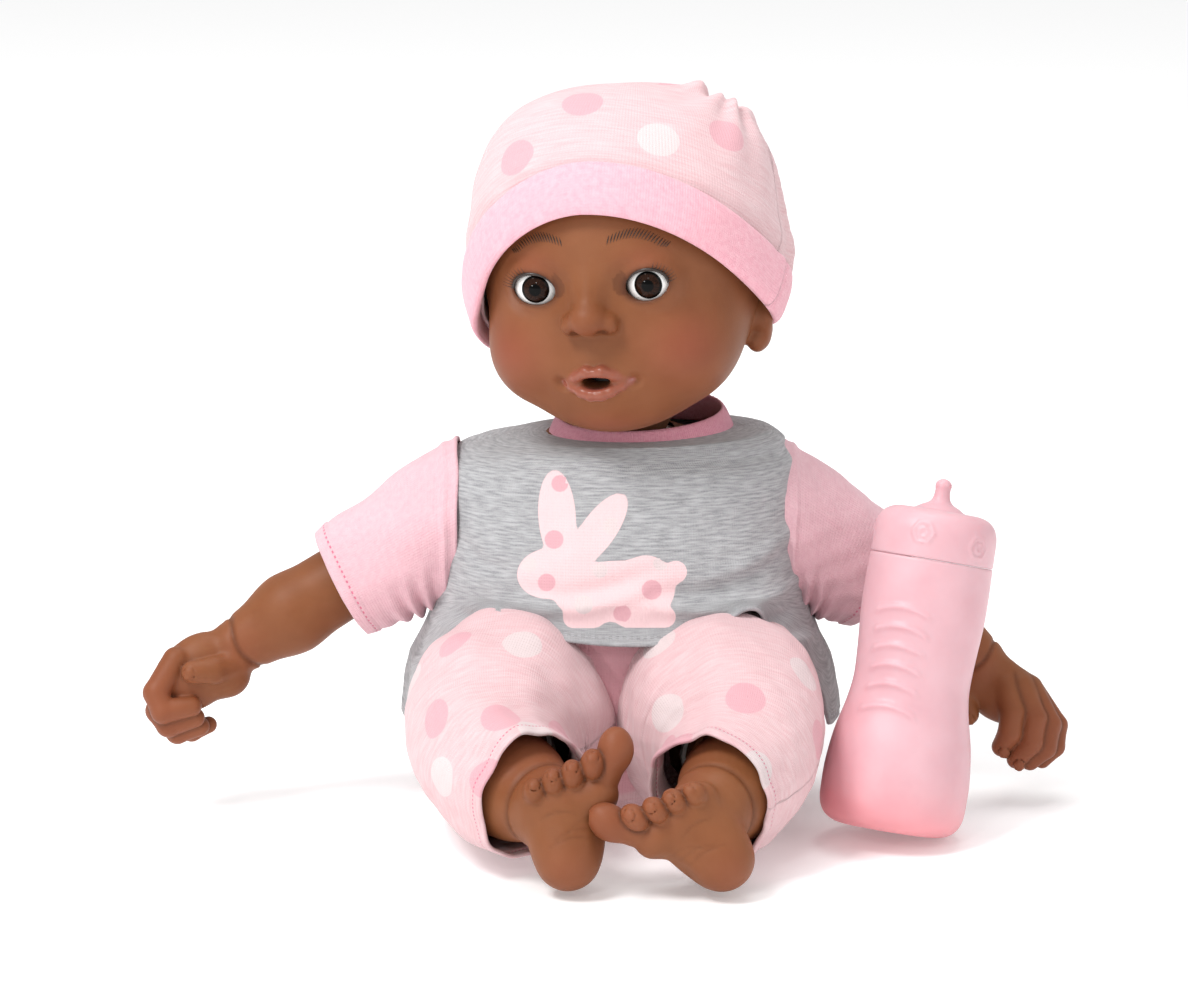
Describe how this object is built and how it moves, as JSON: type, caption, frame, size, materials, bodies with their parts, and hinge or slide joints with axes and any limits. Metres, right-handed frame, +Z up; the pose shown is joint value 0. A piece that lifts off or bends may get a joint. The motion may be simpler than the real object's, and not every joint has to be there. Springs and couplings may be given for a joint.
{
  "type": "interactive baby doll",
  "caption": "Seated soft-bodied baby doll with vinyl head, arms and legs, knit clothes and hat, a voice box inside, and a toy bottle leaning on one arm.",
  "frame": {"origin": "on the floor under the middle of the torso, on the flat seat of the trousers", "axes": "+Z up, the doll faces -Y, +X towards the doll's own left hand"},
  "size_m": [0.3147, 0.1811, 0.2495],
  "materials": {
    "skin_vinyl": "soft satin vinyl, brown",
    "pink_knit": "pink cotton jersey",
    "pale_knit": "pale pink heather jersey with dots",
    "grey_knit": "grey heather jersey",
    "body_cloth": "brown woven body cloth",
    "stuffing": "white polyester fibre",
    "pink_plastic": "satin pink",
    "case": "fine texture, off-white",
    "black": "matte black",
    "eye": "polished",
    "nylon": "natural nylon",
    "board": "green solder mask",
    "steel": "bright plated",
    "battery": "dark jacket",
    "silicone": "matte",
    "paper": "black paper"
  },
  "bodies": {
    "torso": {"torso_cover": "body_cloth", "torso_stuffing": "stuffing", "pocket_flap": "body_cloth", "voice_box_front": "case", "voice_box_back": "case", "battery_door": "case", "door_screw": "steel", "battery_1": "battery", "battery_2": "battery", "battery_3": "battery", "upper_battery_contact": "steel", "lower_battery_contact": "steel", "circuit_board": "board", "speaker_cone": "paper", "speaker_magnet": "steel", "tummy_dome": "silicone", "case_screw_1": "steel", "case_screw_2": "steel", "case_screw_3": "steel", "case_screw_4": "steel", "mouth_switch_cable": "black", "shirt_body": "grey_knit", "neck_binding": "pink_knit", "shirt_back_closure": "grey_knit", "pants_seat": "pale_knit", "left_sleeve": "pink_knit", "right_sleeve": "pink_knit", "left_pant_leg": "pale_knit", "right_pant_leg": "pale_knit"},
    "neck": {"neck_stub": "body_cloth", "neck_tie": "nylon"},
    "head": {"head_shell": "skin_vinyl", "left_eye": "eye", "right_eye": "eye", "mouth_switch_holder": "case"},
    "mouth_button": {"mouth_plunger": "pink_plastic"},
    "hat": {"hat_crown": "pale_knit", "hat_cuff": "pink_knit"},
    "tummy_press": {"tummy_button": "pink_plastic"},
    "power_switch": {"power_switch_knob": "black"},
    "bottle": {"bottle_body": "pink_plastic", "bottle_cap": "pink_plastic"},
    "left_upper_arm": {"left_arm_root": "body_cloth", "left_arm_tie": "nylon"},
    "left_forearm": {"left_arm": "skin_vinyl"},
    "left_thigh": {"left_thigh_root": "body_cloth", "left_leg_tie": "nylon"},
    "left_shin": {"left_leg": "skin_vinyl"},
    "right_upper_arm": {"right_arm_root": "body_cloth", "right_arm_tie": "nylon"},
    "right_forearm": {"right_arm": "skin_vinyl"},
    "right_thigh": {"right_thigh_root": "body_cloth", "right_leg_tie": "nylon"},
    "right_shin": {"right_leg": "skin_vinyl"}
  },
  "joints": [
    {"name": "neck_nod", "type": "hinge", "parent": "torso", "child": "neck", "pos_m": [0, 0.01, 0.131], "axis": [1, 0, 0], "range_deg": [-12, 15], "deforming": ["neck_stub", "neck_binding", "mouth_switch_cable", "shirt_body", "torso_cover"]},
    {"name": "head_turn", "type": "hinge", "parent": "neck", "child": "head", "pos_m": [0.0056, 0.0068, 0.139], "axis": [-0.102, -0.0449, 0.9938], "range_deg": [-70, 70], "deforming": ["neck_stub", "mouth_switch_cable"]},
    {"name": "mouth_press", "type": "slide", "parent": "head", "child": "mouth_button", "axis": [0.2523, 0.9651, 0.0695], "range_m": [0, 0.002], "stiffness_N_per_m": 400, "springref_m": -0.0005},
    {"name": "hat_lift", "type": "slide", "parent": "head", "child": "hat", "axis": [0.0565, 0.5025, 0.8627], "range_m": [0, 0.11], "deforming": ["hat_crown", "hat_cuff"]},
    {"name": "tummy_press", "type": "slide", "parent": "torso", "child": "tummy_press", "axis": [0, 1, 0], "range_m": [0, 0.0018], "stiffness_N_per_m": 800, "springref_m": -0.0005},
    {"name": "power_slide", "type": "slide", "parent": "torso", "child": "power_switch", "axis": [1, 0, 0], "range_m": [0, 0.004]},
    {"name": "left_shoulder_swing", "type": "hinge", "parent": "torso", "child": "left_upper_arm", "pos_m": [0.051, 0.014, 0.101], "axis": [0, -1, 0], "range_deg": [-8, 70], "deforming": ["left_arm_root", "left_sleeve", "shirt_body"]},
    {"name": "left_arm_twist", "type": "hinge", "parent": "left_upper_arm", "child": "left_forearm", "pos_m": [0.089, 0.017, 0.077], "axis": [0.8436, 0.0666, -0.5328], "range_deg": [-45, 45], "deforming": ["left_sleeve"]},
    {"name": "left_hip_swing", "type": "hinge", "parent": "torso", "child": "left_thigh", "pos_m": [0.033, -0.014, 0.0325], "axis": [-0.8211, 0, 0.5708], "range_deg": [0, 30], "deforming": ["left_thigh_root", "left_pant_leg", "pants_seat", "shirt_body"]},
    {"name": "left_leg_twist", "type": "hinge", "parent": "left_thigh", "child": "left_shin", "pos_m": [0.044, -0.066, 0.031], "axis": [-0.2069, 0.978, 0.0282], "range_deg": [0, 45], "deforming": ["left_pant_leg"]},
    {"name": "right_shoulder_swing", "type": "hinge", "parent": "torso", "child": "right_upper_arm", "pos_m": [-0.051, 0.008, 0.102], "axis": [0, 1, 0], "range_deg": [-15, 70], "deforming": ["right_arm_root", "right_sleeve", "shirt_body"]},
    {"name": "right_arm_twist", "type": "hinge", "parent": "right_upper_arm", "child": "right_forearm", "pos_m": [-0.094, 0.006, 0.079], "axis": [-0.881, -0.041, -0.4713], "range_deg": [-45, 45], "deforming": ["right_sleeve"]},
    {"name": "right_hip_swing", "type": "hinge", "parent": "torso", "child": "right_thigh", "pos_m": [-0.033, -0.014, 0.0325], "axis": [-0.8211, 0, -0.5708], "range_deg": [0, 55], "deforming": ["right_thigh_root", "right_pant_leg", "pants_seat", "shirt_body"]},
    {"name": "right_leg_twist", "type": "hinge", "parent": "right_thigh", "child": "right_shin", "pos_m": [-0.046, -0.064, 0.031], "axis": [-0.2515, -0.9674, -0.029], "range_deg": [0, 45], "deforming": ["right_pant_leg"]},
    {"name": "bottle_lift", "type": "slide", "parent": "torso", "child": "bottle", "axis": [0, 0, 1], "range_m": [0, 0.15]}
  ]
}
